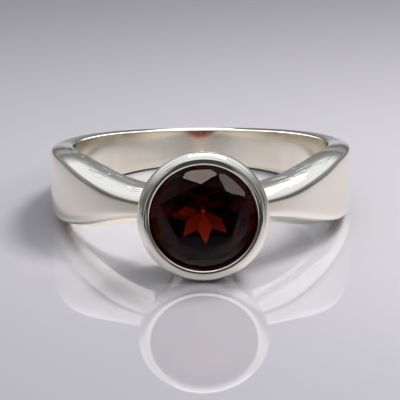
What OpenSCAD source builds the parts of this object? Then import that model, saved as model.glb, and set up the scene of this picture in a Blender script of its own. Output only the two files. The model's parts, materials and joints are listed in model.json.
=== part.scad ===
// Finger ring with a round faceted stone in a bezel cup, lying on its side as it rests by itself.
// Modelled upright about the finger hole's axis (Z), stone toward -Y, then laid down by lay_down().

/* [Finger hole] */
// Inside diameter of the band
finger_hole_d = 16.5; // [15:0.1:20]

/* [Band] */
// Metal thickness of the shank, halfway round
side_wall = 1.43; // [1.2:0.01:1.8]
// How much thicker the front is, and thinner the back, than the sides
wall_taper = 0.22; // [0:0.01:0.3]
// Factor on every width of the band
width_factor = 1; // [0.9:0.01:1.1]

/* [Stone] */
// Girdle diameter of the stone
stone_d = 7; // [6.6:0.1:7.2]
// Table diameter as a share of the girdle
table_share = 0.61; // [0.58:0.01:0.64]
// Angle of the crown's main facets
crown_angle = 28; // [27:0.5:29]
// Angle of the eight facets that meet in a star at the stone's point
star_angle = 33; // [32.5:0.5:33.5]
// Angle of the eight facets between that star and the girdle
break_angle = 41.8; // [41.4:0.2:42.4]
// Least height of the girdle band
girdle_h = 0.05; // [0.04:0.01:0.08]
// Turn of the stone about its own axis
stone_turn = 4.5; // [-22.5:0.5:22.5]

/* [Bezel cup] */
// Distance from the finger hole's axis to the lip's inner edge
lip_edge_reach = 11.75; // [11.65:0.05:11.85]
// How far the metal covers the stone's edge
lip_cover = 0.28; // [0.24:0.01:0.3]
// Height of the bright-cut wall between the stone and the lip's inner edge
edge_cut = 0.48; // [0.4:0.02:0.54]
// Radius of the rounded lip, from its crest to the cup's outer wall
lip_r = 0.55; // [0.5:0.01:0.6]
// Taper of the cup's outer wall toward the finger, on each side
cup_taper = 12.5; // [11:0.5:13.5]
// Width of the ledge under the stone
ledge_w = 0.6; // [0.4:0.05:0.8]
// Gap between the stone and the metal
seat_gap = 0.04; // [0.03:0.01:0.06]

/* [Hidden] */
$fn = 96;
bore_r = finger_hole_d / 2;
STEP_ANGLE = 3;
FIRST_ANGLE = 18;
FACET_RELIEF = 0.006;
LINER_WALL = 0.12;
LINER_SETBACK = 0.03;
BEVEL_STEPS = 4;
OVERRUN = 2;

// Band at angles from the front: half width at the finger hole, half width at the outer face, and the
// share of the wall's thickness over which the edge face is flat before it turns down
COL_ANGLE = 0;
COL_INNER = 1;
COL_OUTER = 2;
COL_FLAT = 3;
BAND_TABLE = [
    [ 18, 1.19, 0.40, 0.08],
    [ 24, 1.28, 0.48, 0.08],
    [ 35, 1.56, 0.70, 0.08],
    [ 50, 2.06, 1.37, 0.10],
    [ 65, 2.31, 1.93, 0.15],
    [ 80, 2.23, 1.90, 0.35],
    [100, 1.90, 1.76, 0.60],
    [130, 1.55, 1.50, 0.70],
    [155, 1.29, 1.25, 0.70],
    [180, 1.18, 1.14, 0.70],
];
LAST_ROW = len(BAND_TABLE) - 1;

// Stone, as shares of the girdle radius
CROWN_STAR_SHARE = 0.8;
STAR_TIP_SHARE = 0.545;
CULET_SHARE = 0.045;
FOLDS = 8;
FOLD_ANGLE = 360 / FOLDS;

// Bezel cup
EDGE_FLARE = 0.06;
EDGE_TURN = 68;
CUP_BACK_CLEARANCE = 0.2;

girdle_r = stone_d / 2;
crown_h = (1 - table_share) * girdle_r * tan(crown_angle);
half_fold = cos(FOLD_ANGLE / 2);
crown_star_r = CROWN_STAR_SHARE * girdle_r;
crown_star_h = (girdle_r - crown_star_r * half_fold) * tan(crown_angle);
upper_half_slope = crown_star_h / (girdle_r - crown_star_r);
star_tip_r = STAR_TIP_SHARE * girdle_r;
star_notch_r = star_tip_r
    * (tan(break_angle) * half_fold - tan(star_angle))
    / (tan(break_angle) - tan(star_angle) * half_fold);
culet_r = CULET_SHARE * girdle_r;
seat_slope = tan(break_angle) * half_fold;
opening_r = girdle_r - lip_cover;
seat_r = girdle_r + seat_gap;
seat_slack = seat_gap / cos(atan(seat_slope));
girdle_top = lip_edge_reach - edge_cut - lip_cover * upper_half_slope - seat_slack;
girdle_base = girdle_top - girdle_h;
// Reach of a point on a break or star facet, by its distance from the stone's axis toward the facet's middle
function on_break(distance) = girdle_base - (girdle_r - distance) * tan(break_angle);
function on_star(distance) = on_break(star_tip_r * half_fold) - (star_tip_r - distance) * tan(star_angle);
girdle_deep = on_break(girdle_r * half_fold);
ledge_r = girdle_r - ledge_w;
edge_r = opening_r + EDGE_FLARE;
lip_centre_r = edge_r + lip_r * cos(EDGE_TURN);
lip_centre_reach = lip_edge_reach - lip_r * sin(EDGE_TURN);
cup_back = bore_r + CUP_BACK_CLEARANCE;
wall_top_r = lip_centre_r + lip_r * cos(cup_taper);
wall_top = lip_centre_reach - lip_r * sin(cup_taper);
loft_bore_r = (bore_r + FACET_RELIEF) / cos(STEP_ANGLE / 2);
wall_back_r = wall_top_r - (wall_top - cup_back) * tan(cup_taper);

// Smooth value of one column of the band's table at an angle from the front, the same on both sides
function mirrored(angle) = angle <= 180 ? angle : 360 - angle;
function row_before(angle, row = 0) =
    row == LAST_ROW - 1 || BAND_TABLE[row + 1][COL_ANGLE] > angle ? row : row_before(angle, row + 1);
function slope_at(row, col) =
    row == LAST_ROW ? 0
    : row == 0 ? slope_between(0, 1, col)
    : slope_between(row - 1, row + 1, col);
function slope_between(first, last, col) =
    (BAND_TABLE[last][col] - BAND_TABLE[first][col])
    / (BAND_TABLE[last][COL_ANGLE] - BAND_TABLE[first][COL_ANGLE]);
function hermite(from, to, slope_from, slope_to, span, share) =
    from * (1 + 2 * share) * pow(1 - share, 2)
    + to * (3 - 2 * share) * pow(share, 2)
    + slope_from * span * share * pow(1 - share, 2)
    - slope_to * span * (1 - share) * pow(share, 2);
function in_row(row, angle, col) =
    let (span = BAND_TABLE[row + 1][COL_ANGLE] - BAND_TABLE[row][COL_ANGLE])
    hermite(BAND_TABLE[row][col], BAND_TABLE[row + 1][col], slope_at(row, col), slope_at(row + 1, col),
            span, (angle - BAND_TABLE[row][COL_ANGLE]) / span);
function band_value(angle, col) = in_row(row_before(mirrored(angle)), mirrored(angle), col);

function wall(angle) = side_wall + wall_taper * cos(angle);
function inner_half(angle) = width_factor * band_value(angle, COL_INNER);
function outer_half(angle) = width_factor * band_value(angle, COL_OUTER);

// Upper half of the band's section at an angle, as radius and height: the edge face, then the bulging bevel
function bezier(from, pull, to, share) =
    pow(1 - share, 2) * from + 2 * share * (1 - share) * pull + pow(share, 2) * to;
function edge_section(angle) =
    let (
        flat_end = [bore_r + wall(angle) * band_value(angle, COL_FLAT), inner_half(angle)],
        ridge = [bore_r + wall(angle), outer_half(angle)],
        pull = [flat_end[0] * 0.4 + ridge[0] * 0.6, flat_end[1] * 0.88 + ridge[1] * 0.12]
    )
    concat(
        [[loft_bore_r, inner_half(angle)]],
        [for (step = [0 : BEVEL_STEPS]) bezier(flat_end, pull, ridge, step / BEVEL_STEPS)]
    );
function mirror_section(half) = [for (i = [len(half) - 1 : -1 : 0]) [half[i][0], -half[i][1]]];
function band_section(angle) = concat(edge_section(angle), mirror_section(edge_section(angle)));

// Tilt at which the lip and one point of the band's back lower edge touch the same plane
function tilt_on(reach, half) =
    let (rise = lip_centre_r - half, run = lip_centre_reach + reach)
    atan2(rise, run) + asin(lip_r / norm([rise, run]));
rest_tilt = min([
    for (angle = [90 : STEP_ANGLE : 180])
        for (point = edge_section(angle)) tilt_on(-point[0] * cos(angle), point[1])
]);
lift = lip_centre_r * cos(rest_tilt) + lip_r - lip_centre_reach * sin(rest_tilt);
front_reach = max(
    lip_centre_reach * cos(rest_tilt) + lip_centre_r * sin(rest_tilt) + lip_r,
    (girdle_top + crown_h) * cos(rest_tilt) + table_share * girdle_r * sin(rest_tilt)
);
back_reach = (bore_r + wall(180)) * cos(rest_tilt) + outer_half(180) * sin(rest_tilt);

// Ring of points round the stone's axis; half a fold on when offset is 0.5
function stone_ring(radius, height, offset = 0) = [
    for (fold = [0 : FOLDS - 1])
        let (angle = (fold + offset) * FOLD_ANGLE)
            [radius * cos(angle), radius * sin(angle), height]
];

module round_brilliant() {
    // Rings of points, from the table down to the culet
    table = 0;
    star = FOLDS;
    main_top = 2 * FOLDS;
    half_top = 3 * FOLDS;
    main_base = 4 * FOLDS;
    half_base = 5 * FOLDS;
    star_tip = 6 * FOLDS;
    star_notch = 7 * FOLDS;
    culet = 8 * FOLDS;
    points = concat(
        stone_ring(table_share * girdle_r, girdle_top + crown_h),
        stone_ring(crown_star_r, girdle_top + crown_star_h, 0.5),
        stone_ring(girdle_r, girdle_top),
        stone_ring(girdle_r, girdle_top, 0.5),
        stone_ring(girdle_r, girdle_deep),
        stone_ring(girdle_r, girdle_base, 0.5),
        stone_ring(star_tip_r, on_star(star_tip_r)),
        stone_ring(star_notch_r, on_star(star_notch_r * half_fold), 0.5),
        stone_ring(culet_r, on_star(culet_r * half_fold), 0.5)
    );
    faces = concat(
        [[for (i = [FOLDS - 1 : -1 : 0]) table + i]],
        [for (i = [0 : FOLDS - 1]) let (j = (i + 1) % FOLDS) each [
            [table + i, table + j, star + i],
            [table + j, star + j, main_top + j, star + i],
            [star + i, half_top + i, main_top + i],
            [star + i, main_top + j, half_top + i],
            [main_top + i, half_top + i, half_base + i, main_base + i],
            [half_top + i, main_top + j, main_base + j, half_base + i],
            [main_base + i, half_base + i, main_base + j, star_tip + j, star_notch + i, star_tip + i],
            [star_tip + j, star_notch + j, culet + j, culet + i, star_notch + i],
        ]],
        [[for (i = [0 : FOLDS - 1]) culet + i]]
    );
    polyhedron(points = points, faces = faces);
}

// Outer form of the cup, about its own axis, the lip up
module cup_blank() {
    rotate_extrude() {
        union() {
            translate([lip_centre_r, lip_centre_reach]) circle(r = lip_r);
            polygon([
                [0, cup_back],
                [wall_back_r, cup_back],
                [wall_top_r, wall_top],
                [lip_centre_r, lip_centre_reach],
                [0, lip_centre_reach]
            ]);
        }
    }
}

// Room for the stone: bright-cut edge, seat, ledge and the open back
module cup_hollow() {
    rotate_extrude() {
        polygon([
            [0, 0],
            [ledge_r, 0],
            [ledge_r, girdle_deep - seat_slack - ledge_w * seat_slope],
            [seat_r, girdle_deep - seat_slack + seat_gap * seat_slope],
            [seat_r, girdle_top + seat_slack - seat_gap * upper_half_slope],
            [opening_r, girdle_top + seat_slack + lip_cover * upper_half_slope],
            [edge_r, lip_edge_reach],
            [edge_r, lip_edge_reach + OVERRUN],
            [0, lip_edge_reach + OVERRUN]
        ]);
    }
}

// True round wall of the finger hole, as wide as the band is all the way round
module finger_hole_wall() {
    half = inner_half(180) - LINER_SETBACK;
    rotate([0, 0, -90])
        rotate_extrude()
            translate([bore_r, -half])
                square([LINER_WALL, 2 * half]);
}

// The band round the finger hole, open at the front
module band_loft() {
    angles = [FIRST_ANGLE : STEP_ANGLE : 360 - FIRST_ANGLE];
    sections = [for (angle = angles) band_section(angle)];
    count = len(sections[0]);
    stations = len(sections);
    points = [
        for (i = [0 : stations - 1])
            let (angle = FIRST_ANGLE + i * STEP_ANGLE)
                for (point = sections[i]) [point[0] * sin(angle), -point[0] * cos(angle), point[1]]
    ];
    sides = [
        for (i = [0 : stations - 2])
            for (k = [0 : count - 1])
                let (a = i * count + k, b = i * count + (k + 1) % count)
                    each [[a, a + count, b], [b, a + count, b + count]]
    ];
    first_end = [for (k = [0 : count - 1]) k];
    last_end = [for (k = [count - 1 : -1 : 0]) (stations - 1) * count + k];
    polyhedron(points = points, faces = concat(sides, [first_end, last_end]));
}

module facing_front() {
    rotate([90, 0, 0]) children();
}

// Lays the upright ring down on its lip and the back of its band, centred over the origin
module lay_down() {
    translate([0, (front_reach - back_reach) / 2, lift])
        rotate([-rest_tilt, 0, 0])
            children();
}

module band_with_bezel() {
    color("silver")
        lay_down()
            difference() {
                union() {
                    band_loft();
                    finger_hole_wall();
                    facing_front() cup_blank();
                }
                facing_front() cup_hollow();
            }
}

module garnet() {
    color("#6b0f12")
        lay_down()
            facing_front()
                rotate([0, 0, stone_turn])
                    round_brilliant();
}

band_with_bezel();
garnet();
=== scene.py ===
"""Garnet ring: a silver band soldered to a bezel cup that holds a round brilliant garnet."""

import json
from math import acos, atan, atan2, cos, degrees, pi, radians, sin, tan

import bmesh
import bpy
from mathutils import Matrix, Vector


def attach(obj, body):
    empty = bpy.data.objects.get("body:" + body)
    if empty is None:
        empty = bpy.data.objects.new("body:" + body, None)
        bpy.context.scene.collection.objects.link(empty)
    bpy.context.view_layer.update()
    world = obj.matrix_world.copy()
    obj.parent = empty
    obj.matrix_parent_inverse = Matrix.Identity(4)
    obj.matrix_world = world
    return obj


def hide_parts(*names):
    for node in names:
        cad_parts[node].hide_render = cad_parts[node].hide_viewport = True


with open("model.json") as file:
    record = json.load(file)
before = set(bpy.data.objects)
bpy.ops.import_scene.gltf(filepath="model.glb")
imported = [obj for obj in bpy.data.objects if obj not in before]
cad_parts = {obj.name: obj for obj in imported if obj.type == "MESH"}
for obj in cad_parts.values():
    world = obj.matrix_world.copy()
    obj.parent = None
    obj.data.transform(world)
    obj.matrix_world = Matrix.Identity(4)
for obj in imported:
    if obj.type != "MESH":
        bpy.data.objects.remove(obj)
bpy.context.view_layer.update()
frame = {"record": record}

MM = 0.001

# The ring as it lies: its finger hole's centre, axis and radius come from the frame's mount
finger_hole = frame["record"]["mounts"][0]
HOLE_CENTRE = Vector(finger_hole["pos_m"])
HOLE_AXIS = Vector(finger_hole["axis"]).normalized()
REST_TILT = atan2(HOLE_AXIS.y, HOLE_AXIS.z)
BORE_R = finger_hole["dims"]["r_mm"] * MM

# Camera, at the photograph's viewing angle
CAMERA_AZIMUTH = radians(-0.757)
CAMERA_ELEVATION = radians(20.885)
CAMERA_DISTANCE = 160 * MM
CAMERA_ROLL = radians(-0.325)
CAMERA_LENS = 224.5
CAMERA_SENSOR = 36
CAMERA_NEAR = 0.01
CAMERA_FAR = 10
AIM_CENTRE = Vector((0, 0, 3 * MM))
AIM_RIGHT = -0.08 * MM
AIM_UP = -1.66 * MM

# Silver: its colours and roughness, and where each finish begins and is full. Radii are from the finger
# hole's axis or, on the lip, from the stone's. Reaches run from the finger hole's centre to the stone.
SILVER = (0.97, 0.915, 0.80, 1)
# The finger side's colour is a lighter, warmer copy of the silver: painted light for the brighter inside
# of the band
LIT_INSIDE_SILVER = (1.0, 0.95, 0.82, 1)
ROUGHNESS = 0.025
HAZE_ROUGHNESS = 0.045
INSIDE_ROUGHNESS = 0.11
INSIDE_R = (BORE_R + 0.08 * MM, BORE_R + 0.03 * MM)
BEVEL_R = (BORE_R + 1.35 * MM, BORE_R + 1.1 * MM)
BACK_REACH = (2.0 * MM, -2.0 * MM)
LIP_REACH = (10.0 * MM, 10.4 * MM)
CREST_REACH = (10.9 * MM, 11.2 * MM)
CREST_R = (3.74 * MM, 3.88 * MM)
LIP_SIDES = (1.5 * MM, 2.8 * MM)
LIP_TOP = (-1.0 * MM, 0.5 * MM)
# Shares of the lines' depth that stay outside those places, and the factor on it for the lip
CUP_WALL_LINES = 0.2
LIP_SIDE_LINES = 0.8
LIP_BOTTOM_LINES = 0.12
LIP_LINE_STRENGTH = 3.6
# The lines are grooves where the noise is above these levels, on a surface with soft waves
GROOVE_LEVELS = (0.52, 0.63)
GROOVE_DEPTH = 0.010 * MM
WAVE_DEPTH = 0.006 * MM
WAVE_STRENGTH = 0.5
# Noise scales: the lines' first one counts by the radian along the polish, all others by the metre
BAND_LINES = (0.6, 4.5 / MM, 4.5 / MM)
LIP_LINES = (0.7, 8.0 / MM, 8.0 / MM)
WAVES = (0.5 / MM, 0.5 / MM, 0.5 / MM)
HAZE = (1.5 / MM, 1.5 / MM, 1.5 / MM)

# Garnet: a clear stone whose red deepens with the light's way through it
GARNET_IOR = 1.81
GARNET_DEPTH = (0.775, 0.30, 0.06, 1)
GARNET_DENSITY = 2000.0

# Band, as in the CAD source: its wall, and a table by the angle from the front. The columns after the
# angle are half the width at the finger hole and at the outer face, in millimetres, and the share of the
# wall over which the edge face is flat.
SIDE_WALL = 1.43 * MM
WALL_TAPER = 0.22 * MM
COL_ANGLE, COL_INNER, COL_OUTER, COL_FLAT = range(4)
BAND_TABLE = (
    (18, 1.19, 0.40, 0.08),
    (24, 1.28, 0.48, 0.08),
    (35, 1.56, 0.70, 0.08),
    (50, 2.06, 1.37, 0.10),
    (65, 2.31, 1.93, 0.15),
    (80, 2.23, 1.90, 0.35),
    (100, 1.90, 1.76, 0.60),
    (130, 1.55, 1.50, 0.70),
    (155, 1.29, 1.25, 0.70),
    (180, 1.18, 1.14, 0.70),
)
# What the polish takes off, which keeps the rounded metal inside the solid
POLISH = 0.006 * MM
# How far along the way from the flat's end to the ridge the bevel's curve is pulled, outwards and down
PULL_OUT = 0.6
PULL_DOWN = 0.12
BEVEL_STEPS = 3
# The cage that is smoothed: its columns from the finger hole outwards, and its stations round the band,
# at which corners are found within the slack in degrees
CAGE_COLUMNS = BEVEL_STEPS + 1
CAGE_HALF = 1.5 * MM
STATIONS = 72
STATION_TURN = 2 * pi / STATIONS
STATION_SLACK = 1
INNER_CREASE = 0.8
RIDGE_CREASE = 0.3
SMOOTH_LEVELS = 2
SHADE_ANGLE = radians(35)
# How much wider a ring of this many corners is than the ring that it smooths to
CAGE_GROWTH = 3 / (2 + cos(STATION_TURN))

# Bezel cup and stone, about the stone's axis
LIP_EDGE_REACH = 11.75 * MM
GIRDLE_R = 3.5 * MM
LIP_COVER = 0.28 * MM
EDGE_CUT = 0.48 * MM
LIP_R = 0.55 * MM
INNER_EDGE_R = 0.1 * MM
CUP_TAPER = radians(12.5)
LEDGE_W = 0.6 * MM
SEAT_GAP = 0.04 * MM
EDGE_FLARE = 0.06 * MM
EDGE_TURN = radians(68)
CUP_BACK = BORE_R + 0.2 * MM
FOLDS = 8
FOLD = 2 * pi / FOLDS
TABLE_SHARE = 0.61
CROWN_STAR_SHARE = 0.8
STAR_TIP_SHARE = 0.545
CULET_SHARE = 0.035
CROWN_SLOPE = radians(28)
STAR_SLOPE = radians(33)
BREAK_SLOPE = radians(41.8)
GIRDLE_HEIGHT = 0.05 * MM
STONE_TURN = radians(4.5)
CROWN_TOP = (1 - TABLE_SHARE) * GIRDLE_R * tan(CROWN_SLOPE)
CROWN_STAR_HEIGHT = (1 - CROWN_STAR_SHARE * cos(FOLD / 2)) * GIRDLE_R * tan(CROWN_SLOPE)
UPPER_HALF_RISE = CROWN_STAR_HEIGHT / ((1 - CROWN_STAR_SHARE) * GIRDLE_R)
SEAT_RISE = tan(BREAK_SLOPE) * cos(FOLD / 2)
SEAT_SLACK = SEAT_GAP / cos(atan(SEAT_RISE))
GIRDLE_TOP = LIP_EDGE_REACH - EDGE_CUT - LIP_COVER * UPPER_HALF_RISE - SEAT_SLACK
GIRDLE_DEEP = GIRDLE_TOP - GIRDLE_HEIGHT - (1 - cos(FOLD / 2)) * GIRDLE_R * tan(BREAK_SLOPE)
STAR_DEPTH = GIRDLE_HEIGHT + GIRDLE_R * (
    (1 - STAR_TIP_SHARE * cos(FOLD / 2)) * tan(BREAK_SLOPE) + STAR_TIP_SHARE * tan(STAR_SLOPE)
)
CUT_THRESHOLD = 0.00001 * MM
MERGE_DISTANCE = 0.0005 * MM
CUP_SIDES = 192
LIP_STEPS = 24
INNER_EDGE_STEPS = 8
GIRDLE_SIDES = 96
CUTTER_MARGIN = 0.2 * MM

# Floor: its size, and the stretch behind the ring over which painted shade turns it to its far, darker
# tone
FLOOR_SIZE = 2.0
FLOOR_SHADE_SPAN = (0.012, 0.06)
FLOOR_SHADE_TONES = (
    (0.0, 0.415, 0.393, 0.402),
    (1.0, 0.21, 0.20, 0.206),
)

# Room: each stop is a height over the horizon, from 0 to 1, and the red, green and blue there
BACK_MIDDLE = (
    (0.0, 0.12, 0.125, 0.14),
    (0.11, 0.34, 0.35, 0.37),
    (0.18, 0.34, 0.35, 0.37),
    (0.26, 0.18, 0.19, 0.205),
    (0.80, 0.30, 0.32, 0.35),
    (0.93, 0.92, 0.98, 1.06),
)
BACK_ASIDE = (
    (0.0, 0.12, 0.125, 0.14),
    (0.11, 0.27, 0.28, 0.30),
    (0.18, 0.27, 0.28, 0.30),
    (0.26, 0.18, 0.19, 0.205),
    (0.42, 0.33, 0.35, 0.385),
    (0.62, 0.83, 0.875, 0.985),
)
FRONT_MIDDLE = (
    (0.0, 0.05, 0.047, 0.045),
    (0.45, 0.035, 0.036, 0.04),
    (0.54, 0.78, 0.82, 0.89),
)
FRONT_ASIDE = (
    (0.0, 0.09, 0.088, 0.09),
    (0.18, 0.12, 0.12, 0.125),
    (0.36, 0.22, 0.225, 0.24),
    (0.64, 0.70, 0.74, 0.80),
)
# Where the sides take over from the middle, and the front from the back
ROOM_ASIDE = (0.12, 0.32)
ROOM_FRONT = (0.15, -0.25)


class Value:
    """A shader output that Python's arithmetic works on: each operation adds its Math node."""

    def __init__(self, board, socket):
        self.board = board
        self.socket = socket

    def math(self, operation, first, second=0.0):
        return self.board.node("ShaderNodeMath", {"operation": operation}, {0: first, 1: second})

    def __add__(self, other):
        return self.math("ADD", self, other)

    def __rsub__(self, other):
        return self.math("SUBTRACT", other, self)

    def __mul__(self, other):
        return self.math("MULTIPLY", self, other)

    def __pow__(self, other):
        return self.math("POWER", self, other)

    def __abs__(self):
        return self.math("ABSOLUTE", self)

    __radd__ = __add__
    __rmul__ = __mul__


class Board:
    """A node tree, built by one method."""

    def __init__(self, tree):
        self.tree = tree
        self.tree.nodes.clear()

    def node(self, kind, settings=None, sockets=None, output=0):
        """Adds a node with its settings and its sockets' values, and gives one of its outputs."""
        made = self.tree.nodes.new(kind)
        for name, setting in (settings or {}).items():
            if name == "stops":
                self.set_stops(made.color_ramp, setting)
            else:
                setattr(made, name, setting)
        for name, value in (sockets or {}).items():
            if isinstance(value, Value):
                self.tree.links.new(value.socket, made.inputs[name])
            else:
                made.inputs[name].default_value = value
        return Value(self, made.outputs[output]) if made.outputs else made

    @staticmethod
    def set_stops(ramp, stops):
        while len(ramp.elements) < len(stops):
            ramp.elements.new(0.5)
        for element, (position, *colour) in zip(ramp.elements, stops):
            element.position = position
            element.color = (*colour, 1)


def new_material(name):
    material = bpy.data.materials.new(name)
    material.use_nodes = True
    return material, Board(material.node_tree)


def vector_math(board, operation, first, second, output=0):
    return board.node("ShaderNodeVectorMath", {"operation": operation}, {0: first, 1: second}, output)


def along(board, place, direction):
    """How far a place lies in a direction."""
    return vector_math(board, "DOT_PRODUCT", place, direction, 1)


def fade(board, value, span, low=0.0, smooth=False):
    """Goes from low to 1 as the value goes from the span's first end to its second."""
    kind = "SMOOTHSTEP" if smooth else "LINEAR"
    return board.node("ShaderNodeMapRange", {"interpolation_type": kind}, {
        "Value": value, "From Min": span[0], "From Max": span[1], "To Min": low,
    })


def blend(board, share, first, second):
    return board.node("ShaderNodeMix", {"data_type": "FLOAT"}, {0: share, 2: first, 3: second})


def blend_colours(board, share, first, second):
    return board.node("ShaderNodeMix", {"data_type": "RGBA"}, {0: share, 6: first, 7: second}, output=2)


def tone_ramp(board, value, stops):
    """A colour along a value: each stop is its place, red, green and blue."""
    return board.node("ShaderNodeValToRGB", {"stops": stops}, {"Fac": value})


def noise(board, across, scale, detail=1.0):
    """Noise over three values, at its own scale for each of them."""
    axes = {n: value * factor for n, (value, factor) in enumerate(zip(across, scale))}
    place = board.node("ShaderNodeCombineXYZ", {}, axes)
    return board.node("ShaderNodeTexNoise", {}, {"Vector": place, "Scale": 1.0, "Detail": detail})


def polished_silver():
    """Warm white metal; the polish runs round the band, and round the stone on the lip."""
    material, board = new_material("polished_silver")
    place = board.node("ShaderNodeTexCoord", output=3)
    local = vector_math(board, "SUBTRACT", place, tuple(HOLE_CENTRE))
    side = along(board, local, (1, 0, 0))
    front = along(board, local, (0, -HOLE_AXIS.z, HOLE_AXIS.y))
    height = along(board, local, tuple(HOLE_AXIS))
    band_r = (side * side + front * front) ** 0.5
    stone_r = (side * side + height * height) ** 0.5
    band_turn = side.math("ARCTAN2", side, front)
    stone_turn = side.math("ARCTAN2", side, height)
    on_lip = fade(board, front, LIP_REACH)
    inside = fade(board, band_r, INSIDE_R)

    band_lines = noise(board, (band_turn, height, band_r), BAND_LINES)
    lip_lines = noise(board, (stone_turn, stone_r, front), LIP_LINES)
    grooves = fade(board, blend(board, on_lip, band_lines, lip_lines), GROOVE_LEVELS, smooth=True)
    to_back = fade(board, front, BACK_REACH)
    lined_band = fade(board, band_r, BEVEL_R) * (1.0 - inside) * (1.0 - to_back)
    on_crest = fade(board, front, CREST_REACH, low=CUP_WALL_LINES)
    at_sides = fade(board, abs(side), LIP_SIDES, smooth=True)
    lined_crest = blend(board, at_sides, fade(board, stone_r, CREST_R), LIP_SIDE_LINES)
    upper_half = fade(board, height, LIP_TOP, low=LIP_BOTTOM_LINES, smooth=True)
    lined_lip = LIP_LINE_STRENGTH * on_crest * lined_crest * upper_half
    lined_part = blend(board, on_lip, lined_band, lined_lip)

    hand_waves = noise(board, (side, front, height), WAVES)
    wavy = board.node("ShaderNodeBump", {}, {
        "Height": hand_waves, "Strength": WAVE_STRENGTH, "Distance": WAVE_DEPTH,
    })
    lined = board.node("ShaderNodeBump", {"invert": True}, {
        "Height": grooves * lined_part, "Strength": 1.0, "Distance": GROOVE_DEPTH, "Normal": wavy,
    })
    haze = noise(board, (side, front, height), HAZE, detail=3.0)
    surface = board.node("ShaderNodeBsdfPrincipled", {}, {
        # Painted light: the finger side takes the lighter, warmer copy of the silver
        "Base Color": blend_colours(board, inside, SILVER, LIT_INSIDE_SILVER),
        "Metallic": 1.0,
        "Roughness": ROUGHNESS + HAZE_ROUGHNESS * haze + INSIDE_ROUGHNESS * inside,
        "Normal": lined,
    })
    board.node("ShaderNodeOutputMaterial", {}, {"Surface": surface})
    return material


def garnet_red():
    """Clear garnet: what the light loses on its way through the stone leaves it red."""
    material, board = new_material("garnet_red")
    surface = board.node("ShaderNodeBsdfPrincipled", {}, {
        "Base Color": (1.0, 0.9, 0.9, 1),
        "Roughness": 0.0,
        "IOR": GARNET_IOR,
        # A dim specular tint: painted shade that keeps the stone's mirrored facets near black
        "Specular Tint": (0.2, 0.18, 0.18, 1),
        "Transmission Weight": 1.0,
    })
    depth = board.node("ShaderNodeVolumeAbsorption", {}, {
        "Color": GARNET_DEPTH, "Density": GARNET_DENSITY,
    })
    board.node("ShaderNodeOutputMaterial", {}, {"Surface": surface, "Volume": depth})
    return material


def glossy_floor():
    """A glossy sheet with painted shade: its colour falls off to grey behind the ring."""
    material, board = new_material("glossy_floor")
    place = board.node("ShaderNodeTexCoord", output=3)
    depth = fade(board, along(board, place, (0, 1, 0)), FLOOR_SHADE_SPAN, smooth=True)
    surface = board.node("ShaderNodeBsdfPrincipled", {}, {
        "Base Color": tone_ramp(board, depth, FLOOR_SHADE_TONES), "Roughness": 0.03, "IOR": 3.1,
    })
    board.node("ShaderNodeOutputMaterial", {}, {"Surface": surface})
    return material


def black_card():
    material, board = new_material("black_card")
    surface = board.node("ShaderNodeBsdfPrincipled", {}, {
        "Base Color": (0.01, 0.01, 0.01, 1), "Roughness": 1.0,
    })
    board.node("ShaderNodeOutputMaterial", {}, {"Surface": surface})
    return material


def deselect_objects():
    bpy.ops.object.select_all(action="DESELECT")


def select_all(action="SELECT"):
    bpy.ops.mesh.select_all(action=action)


def select_where(piece, wanted):
    """In edit mode, selects the piece's vertices whose place passes the test."""
    select_all("DESELECT")
    bpy.ops.mesh.select_mode(type="VERT")
    cage = bmesh.from_edit_mesh(piece.data)
    for vertex in cage.verts:
        vertex.select = wanted(vertex.co)
    cage.select_flush(True)
    bmesh.update_edit_mesh(piece.data)


def select_edges(piece, wanted):
    """In edit mode, selects the piece's edges whose two ends pass the test."""
    select_all("DESELECT")
    bpy.ops.mesh.select_mode(type="EDGE")
    cage = bmesh.from_edit_mesh(piece.data)
    for edge in cage.edges:
        edge.select = wanted(edge.verts[0].co, edge.verts[1].co)
    bmesh.update_edit_mesh(piece.data)


def near(value, wanted):
    return abs(value - wanted) < MERGE_DISTANCE


def set_in_mesh():
    """Moves the selected object's place, turn and scale into its mesh."""
    bpy.ops.object.transform_apply(location=True, rotation=True, scale=True)


def start_piece(name):
    """Names the primitive that was just added and opens it for editing, its place in its mesh."""
    piece = bpy.context.object
    piece.name = name
    set_in_mesh()
    bpy.ops.object.mode_set(mode="EDIT")
    return piece


def close_piece():
    """Merges what meets in the open piece, turns its faces outwards and ends the editing."""
    select_all()
    bpy.ops.mesh.remove_doubles(threshold=MERGE_DISTANCE)
    bpy.ops.mesh.normals_make_consistent(inside=False)
    bpy.ops.object.mode_set(mode="OBJECT")


def lay_down(piece):
    """Takes a piece made upright, the finger hole's axis up, to its place in the resting ring."""
    piece.matrix_world = (
        Matrix.Translation(HOLE_CENTRE) @ Matrix.Rotation(-REST_TILT, 4, "X") @ piece.matrix_world
    )
    set_in_mesh()


def face_front(piece):
    """Turns a piece made about an upright stone axis to the front of the upright ring."""
    piece.matrix_world = Matrix.Rotation(pi / 2, 4, "X") @ piece.matrix_world
    set_in_mesh()


def slope_at(row, col):
    if row == len(BAND_TABLE) - 1:
        return 0
    first, last = (0, 1) if row == 0 else (row - 1, row + 1)
    rise = BAND_TABLE[last][col] - BAND_TABLE[first][col]
    return rise / (BAND_TABLE[last][COL_ANGLE] - BAND_TABLE[first][COL_ANGLE])


def band_value(angle, col):
    """Smooth value of one column of the band's table, at an angle from the front in degrees."""
    if angle <= BAND_TABLE[0][COL_ANGLE]:
        return BAND_TABLE[0][col]
    row = max(i for i in range(len(BAND_TABLE) - 1) if BAND_TABLE[i][COL_ANGLE] <= angle)
    start, end = BAND_TABLE[row], BAND_TABLE[row + 1]
    span = end[COL_ANGLE] - start[COL_ANGLE]
    share = (angle - start[COL_ANGLE]) / span
    return (
        start[col] * (1 + 2 * share) * (1 - share) ** 2
        + end[col] * (3 - 2 * share) * share ** 2
        + slope_at(row, col) * span * share * (1 - share) ** 2
        - slope_at(row + 1, col) * span * (1 - share) * share ** 2
    )


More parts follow.
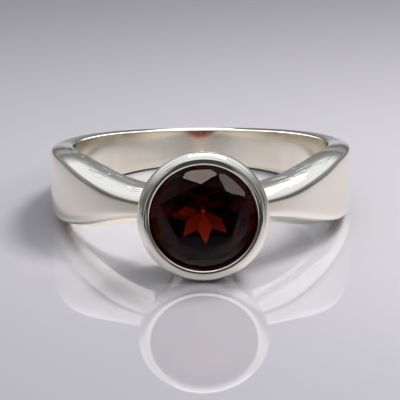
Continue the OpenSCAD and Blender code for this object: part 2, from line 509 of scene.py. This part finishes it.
def band_section(angle):
    """Radius and height over the mid plane of the cage's corners, from the finger hole outwards."""
    wall = SIDE_WALL + WALL_TAPER * cos(radians(angle)) - POLISH
    inner_half = band_value(angle, COL_INNER) * MM - POLISH
    flat_end = Vector((BORE_R + wall * band_value(angle, COL_FLAT), inner_half))
    ridge = Vector((BORE_R + wall, band_value(angle, COL_OUTER) * MM - POLISH))
    pull = Vector((
        flat_end.x * (1 - PULL_OUT) + ridge.x * PULL_OUT,
        flat_end.y * (1 - PULL_DOWN) + ridge.y * PULL_DOWN,
    ))
    shares = [step / BEVEL_STEPS for step in range(BEVEL_STEPS + 1)]
    curve = [flat_end * (1 - t) ** 2 + pull * 2 * t * (1 - t) + ridge * t ** 2 for t in shares]
    return [Vector((BORE_R, inner_half)), *curve]


def make_band():
    """A ring spun from a plain section, whose corners are then drawn out to the band's own sections."""
    cage_r = [BORE_R + SIDE_WALL * k / CAGE_COLUMNS for k in range(CAGE_COLUMNS + 1)]
    deselect_objects()
    bpy.ops.mesh.primitive_plane_add(
        size=1, location=(0, (cage_r[0] + cage_r[-1]) / 2, 0), rotation=(0, pi / 2, 0)
    )
    bpy.context.object.scale = (2 * CAGE_HALF, SIDE_WALL, 1)
    band = start_piece("band")
    select_all()
    bpy.ops.mesh.delete(type="ONLY_FACE")
    for upright, cuts in ((False, CAGE_COLUMNS - 1), (True, 1)):
        select_edges(band, lambda first, last: (
            (abs(first.z - last.z) > abs(first.y - last.y)) == upright
        ))
        bpy.ops.mesh.subdivide(number_cuts=cuts)
    select_all()
    bpy.ops.mesh.spin(steps=STATIONS, angle=2 * pi, center=(0, 0, 0), axis=(0, 0, 1))
    select_all()
    bpy.ops.mesh.remove_doubles(threshold=MERGE_DISTANCE)
    for radius, crease in ((cage_r[0], INNER_CREASE), (cage_r[-1], RIDGE_CREASE)):
        select_edges(band, lambda first, last: all(
            near(abs(end.z), CAGE_HALF) and near(end.xy.length, radius) for end in (first, last)
        ))
        bpy.ops.transform.edge_crease(value=crease)
    for station in range(STATIONS // 2 + 1):
        angle = degrees(station * STATION_TURN)
        section = band_section(angle)
        corners = [(radius, CAGE_HALF, place) for radius, place in zip(cage_r, section)]
        middles = [
            (radius, 0, Vector((place.x, CAGE_HALF)))
            for radius, place in ((cage_r[0], section[0]), (cage_r[-1], section[-1]))
        ]
        for radius, height, place in corners + middles:
            select_where(band, lambda spot: (
                near(abs(spot.z), height) and near(spot.xy.length, radius)
                and abs(degrees(atan2(abs(spot.x), -spot.y)) - angle) < STATION_SLACK
            ))
            grow = CAGE_GROWTH * place.x / radius
            bpy.ops.transform.resize(value=(grow, grow, place.y / CAGE_HALF), center_override=(0, 0, 0))
    close_piece()
    return band


def lathe(name, rows):
    """A closed ring about the upright axis: a circle drawn through each row's radius and height."""
    deselect_objects()
    bpy.ops.mesh.primitive_circle_add(vertices=CUP_SIDES, radius=rows[0][0], location=(0, 0, rows[0][1]))
    piece = start_piece(name)
    last_r, last_height = rows[0]
    for radius, height in (*rows[1:], rows[0]):
        bpy.ops.mesh.extrude_region_move(TRANSFORM_OT_translate={"value": (0, 0, height - last_height)})
        grow = radius / last_r
        bpy.ops.transform.resize(value=(grow, grow, 1), center_override=(0, 0, height))
        last_r, last_height = radius, height
    close_piece()
    return piece


def even_turns(start, end, steps):
    return [start + (end - start) * k / steps for k in range(steps + 1)]


def arc(centre_r, centre_reach, radius, turns):
    return [(centre_r + radius * cos(turn), centre_reach + radius * sin(turn)) for turn in turns]


def make_cup():
    """The bezel cup: its outer wall, its lip, the seat that holds the girdle and the ledge under it."""
    opening_r = GIRDLE_R - LIP_COVER
    seat_r = GIRDLE_R + SEAT_GAP
    ledge_r = GIRDLE_R - LEDGE_W
    edge_r = opening_r + EDGE_FLARE
    lip_r = edge_r + LIP_R * cos(EDGE_TURN)
    lip_reach = LIP_EDGE_REACH - LIP_R * sin(EDGE_TURN)
    wall_top = (lip_r + LIP_R * cos(CUP_TAPER), lip_reach - LIP_R * sin(CUP_TAPER))
    wall_back_r = wall_top[0] - (wall_top[1] - CUP_BACK) * tan(CUP_TAPER)
    # The lip's round runs over its crest into a tighter one at the inner edge
    crest_end = acos((edge_r + INNER_EDGE_R - lip_r) / (LIP_R - INNER_EDGE_R))
    inner_r = lip_r + (LIP_R - INNER_EDGE_R) * cos(crest_end)
    inner_reach = lip_reach + (LIP_R - INNER_EDGE_R) * sin(crest_end)
    rows = [
        (ledge_r, CUP_BACK),
        (wall_back_r, CUP_BACK),
        *arc(lip_r, lip_reach, LIP_R - POLISH, even_turns(-CUP_TAPER, crest_end, LIP_STEPS)[:-1]),
        *arc(inner_r, inner_reach, INNER_EDGE_R, even_turns(crest_end, pi, INNER_EDGE_STEPS)),
        (opening_r, GIRDLE_TOP + SEAT_SLACK + LIP_COVER * UPPER_HALF_RISE),
        (seat_r, GIRDLE_TOP + SEAT_SLACK - SEAT_GAP * UPPER_HALF_RISE),
        (seat_r, GIRDLE_DEEP - SEAT_SLACK + SEAT_GAP * SEAT_RISE),
        (ledge_r, GIRDLE_DEEP - SEAT_SLACK - LEDGE_W * SEAT_RISE),
    ]
    cup = lathe("cup", rows)
    face_front(cup)
    return cup


def apply_modifier(piece, kind, **settings):
    bpy.context.view_layer.objects.active = piece
    modifier = piece.modifiers.new(kind.lower(), kind)
    for name, value in settings.items():
        setattr(modifier, name, value)
    bpy.ops.object.modifier_apply(modifier=modifier.name)


def make_silver():
    """Band and cup soldered into one piece."""
    band = make_band()
    apply_modifier(band, "SUBSURF", levels=SMOOTH_LEVELS, render_levels=SMOOTH_LEVELS)
    deselect_objects()
    bpy.ops.mesh.primitive_cylinder_add(
        vertices=CUP_SIDES, radius=GIRDLE_R - LEDGE_W + CUTTER_MARGIN, depth=LIP_EDGE_REACH,
        location=(0, -LIP_EDGE_REACH / 2, 0), rotation=(pi / 2, 0, 0)
    )
    cutter = bpy.context.object
    set_in_mesh()
    apply_modifier(band, "BOOLEAN", operation="DIFFERENCE", object=cutter, solver="EXACT")
    bpy.data.objects.remove(cutter)
    cup = make_cup()
    apply_modifier(band, "BOOLEAN", operation="UNION", object=cup, solver="EXACT")
    bpy.data.objects.remove(cup)
    band.select_set(True)
    bpy.context.view_layer.objects.active = band
    band.name = "silver_ring"
    # The union leaves slivers without width along the seam
    bpy.ops.object.mode_set(mode="EDIT")
    select_all()
    bpy.ops.mesh.dissolve_degenerate(threshold=MERGE_DISTANCE)
    close_piece()
    lay_down(band)
    bpy.ops.object.shade_smooth_by_angle(angle=SHADE_ANGLE)
    band.data.materials.append(polished_silver())
    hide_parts("band_with_bezel")
    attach(band, "root")


def cut_off(point, outward):
    """Cuts the open piece flat through a point and clears what lies on its outward side."""
    select_all()
    bpy.ops.mesh.bisect(
        plane_co=point, plane_no=outward, use_fill=True, clear_outer=True, threshold=CUT_THRESHOLD
    )


def cut_facets(slope, azimuth, radius, height, side):
    """One facet per fold, sloping from the stone's axis through a point at that radius and height."""
    for fold in range(FOLDS):
        turn = fold * FOLD + azimuth
        outward = Vector((cos(turn), sin(turn), 0))
        normal = outward * sin(slope) + Vector((0, 0, side * cos(slope)))
        cut_off(outward * radius + Vector((0, 0, height)), normal)


def make_garnet():
    """A round brilliant cut from a cylinder with its girdle top at height 0, then set in its place."""
    deselect_objects()
    half_flat = GIRDLE_R * cos(FOLD / 4)
    half_slope = atan(CROWN_STAR_HEIGHT / ((1 - CROWN_STAR_SHARE) * half_flat))
    table_flat = TABLE_SHARE * GIRDLE_R * cos(FOLD / 2)
    star_slope = atan((CROWN_TOP - CROWN_STAR_HEIGHT) / (CROWN_STAR_SHARE * GIRDLE_R - table_flat))
    culet_height = CULET_SHARE * GIRDLE_R * cos(FOLD / 2) * tan(STAR_SLOPE) - STAR_DEPTH
    bpy.ops.mesh.primitive_cylinder_add(
        vertices=GIRDLE_SIDES, radius=GIRDLE_R, depth=CROWN_TOP + STAR_DEPTH,
        location=(0, 0, (CROWN_TOP - STAR_DEPTH) / 2)
    )
    stone = start_piece("garnet_stone")
    cut_facets(CROWN_SLOPE, 0, GIRDLE_R, 0, 1)
    cut_facets(half_slope, FOLD / 4, half_flat, 0, 1)
    cut_facets(half_slope, -FOLD / 4, half_flat, 0, 1)
    cut_facets(star_slope, FOLD / 2, table_flat, CROWN_TOP, 1)
    cut_facets(BREAK_SLOPE, FOLD / 2, GIRDLE_R, -GIRDLE_HEIGHT, -1)
    cut_facets(STAR_SLOPE, 0, 0, -STAR_DEPTH, -1)
    cut_off((0, 0, culet_height), (0, 0, -1))
    close_piece()
    stone.matrix_world = Matrix.Translation((0, 0, GIRDLE_TOP)) @ Matrix.Rotation(STONE_TURN, 4, "Z")
    face_front(stone)
    lay_down(stone)
    stone.data.materials.append(garnet_red())
    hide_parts("garnet")
    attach(stone, "root")
    return stone


def make_camera():
    data = bpy.data.cameras.new("camera")
    camera = bpy.data.objects.new("camera", data)
    bpy.context.scene.collection.objects.link(camera)
    back = Vector((
        sin(CAMERA_AZIMUTH) * cos(CAMERA_ELEVATION),
        -cos(CAMERA_AZIMUTH) * cos(CAMERA_ELEVATION),
        sin(CAMERA_ELEVATION),
    ))
    right = Vector((0, 0, 1)).cross(back).normalized()
    up = back.cross(right)
    camera.location = AIM_CENTRE + back * CAMERA_DISTANCE
    aim = AIM_CENTRE + right * AIM_RIGHT + up * AIM_UP
    look = (aim - camera.location).to_track_quat("-Z", "Y")
    camera.rotation_euler = (look.to_matrix() @ Matrix.Rotation(CAMERA_ROLL, 3, "Z")).to_euler()
    data.lens = CAMERA_LENS
    data.sensor_width = CAMERA_SENSOR
    data.clip_start = CAMERA_NEAR
    data.clip_end = CAMERA_FAR
    bpy.context.scene.camera = camera


def make_world():
    """A room that brightens upwards, dark slate at the back and darker still low in front of the ring."""
    world = bpy.data.worlds.new("studio")
    bpy.context.scene.world = world
    world.use_nodes = True
    board = Board(world.node_tree)
    direction = board.node("ShaderNodeTexCoord", output=0)
    right, back, rise = (along(board, direction, axis) for axis in ((1, 0, 0), (0, 1, 0), (0, 0, 1)))
    aside = fade(board, abs(right), ROOM_ASIDE, smooth=True)
    rear, front = (
        blend_colours(board, aside, tone_ramp(board, rise, middle), tone_ramp(board, rise, beside))
        for middle, beside in ((BACK_MIDDLE, BACK_ASIDE), (FRONT_MIDDLE, FRONT_ASIDE))
    )
    room = blend_colours(board, fade(board, back, ROOM_FRONT, smooth=True), rear, front)
    background = board.node("ShaderNodeBackground", {}, {"Color": room, "Strength": 1.0})
    board.node("ShaderNodeOutputWorld", {}, {"Surface": background})


def hide_from(thing, *rays):
    for kind in rays:
        setattr(thing, "visible_" + kind, False)


def make_floor():
    bpy.ops.mesh.primitive_plane_add(size=FLOOR_SIZE, location=(0, 0, 0))
    floor = bpy.context.object
    floor.name = "floor"
    floor.data.materials.append(glossy_floor())
    return floor


def dark_card(name, place, size):
    """A flat black card, seen only in mirrors and through the stone: painted shade that darkens the
    stone's table.
    """
    bpy.ops.mesh.primitive_plane_add(size=1.0, location=place)
    card = bpy.context.object
    card.name = name
    card.scale = (*size, 1)
    set_in_mesh()
    card.data.materials.append(black_card())
    hide_from(card, "camera", "diffuse", "shadow")


def soft_light(name, place, target, size, brightness, colour=(1, 1, 1), hidden_from=(), lit_piece=None):
    """A flat light that isn't seen through the stone. With a lit piece, it shows on that piece only."""
    data = bpy.data.lights.new(name, "AREA")
    data.shape = "RECTANGLE"
    data.size, data.size_y = size
    data.energy = brightness * pi * size[0] * size[1]
    data.color = colour
    light = bpy.data.objects.new(name, data)
    bpy.context.scene.collection.objects.link(light)
    light.location = place
    light.rotation_euler = (Vector(target) - Vector(place)).to_track_quat("-Z", "Y").to_euler()
    hide_from(light, "transmission", *hidden_from)
    if lit_piece:
        lit = bpy.data.collections.new(name + "_lit")
        lit.objects.link(lit_piece)
        light.light_linking.receiver_collection = lit


def make_lights(floor, stone):
    """Lights over the ring, pools of light on the floor, and two lamps for the stone's lit facets."""
    soft_light(
        "overhead", place=(0.01, 0.005, 0.095), target=(0.01, 0.007, 0), size=(0.07, 0.07),
        brightness=0.9, colour=(0.94, 0.98, 1.05)
    )
    soft_light(
        "key", place=(0.046, 0.03, 0.096), target=(0.003, 0, 0), size=(0.034, 0.034),
        brightness=40.0, colour=(0.98, 0.98, 1.01), hidden_from=("glossy",)
    )
    soft_light(
        "right_pool", place=(0.022, -0.008, 0.03), target=(0.0221, -0.008, 0), size=(0.01, 0.01),
        brightness=13.0, hidden_from=("glossy",)
    )
    soft_light(
        "hole_pool", place=(-0.0035, -0.0005, 0.009), target=(-0.0045, -0.0015, 0), size=(0.004, 0.004),
        brightness=12.0, hidden_from=("glossy", "camera"), lit_piece=floor
    )
    soft_light(
        "shoulder_pool", place=(-0.0072, -0.0066, 0.0022), target=(-0.0072, -0.006, 0),
        size=(0.0036, 0.0036), brightness=2.0, hidden_from=("glossy", "camera"), lit_piece=floor
    )
    soft_light(
        "front_high", place=(0.003, -0.063, 0.073), target=(0, -0.012, 0.005), size=(0.034, 0.024),
        brightness=9.8, colour=(1.0, 0.93, 0.83), lit_piece=stone
    )
    soft_light(
        "front_right", place=(0.065, -0.07, 0.053), target=(0, -0.012, 0.005), size=(0.03, 0.03),
        brightness=4.9, lit_piece=stone
    )
    soft_light(
        "back_window", place=(0.002, 0.3, 0.038), target=(0, 0.01, 0.002), size=(0.008, 0.05),
        brightness=1.8
    )


make_camera()
make_world()
floor = make_floor()
# Painted shade: a black card in front of the ring, seen only in what the stone and the silver mirror
dark_card("front_card", place=(-0.016, -0.075, 0.0002), size=(0.07, 0.08))
make_silver()
stone = make_garnet()
make_lights(floor, stone)

bpy.context.scene.view_settings.view_transform = "Standard"
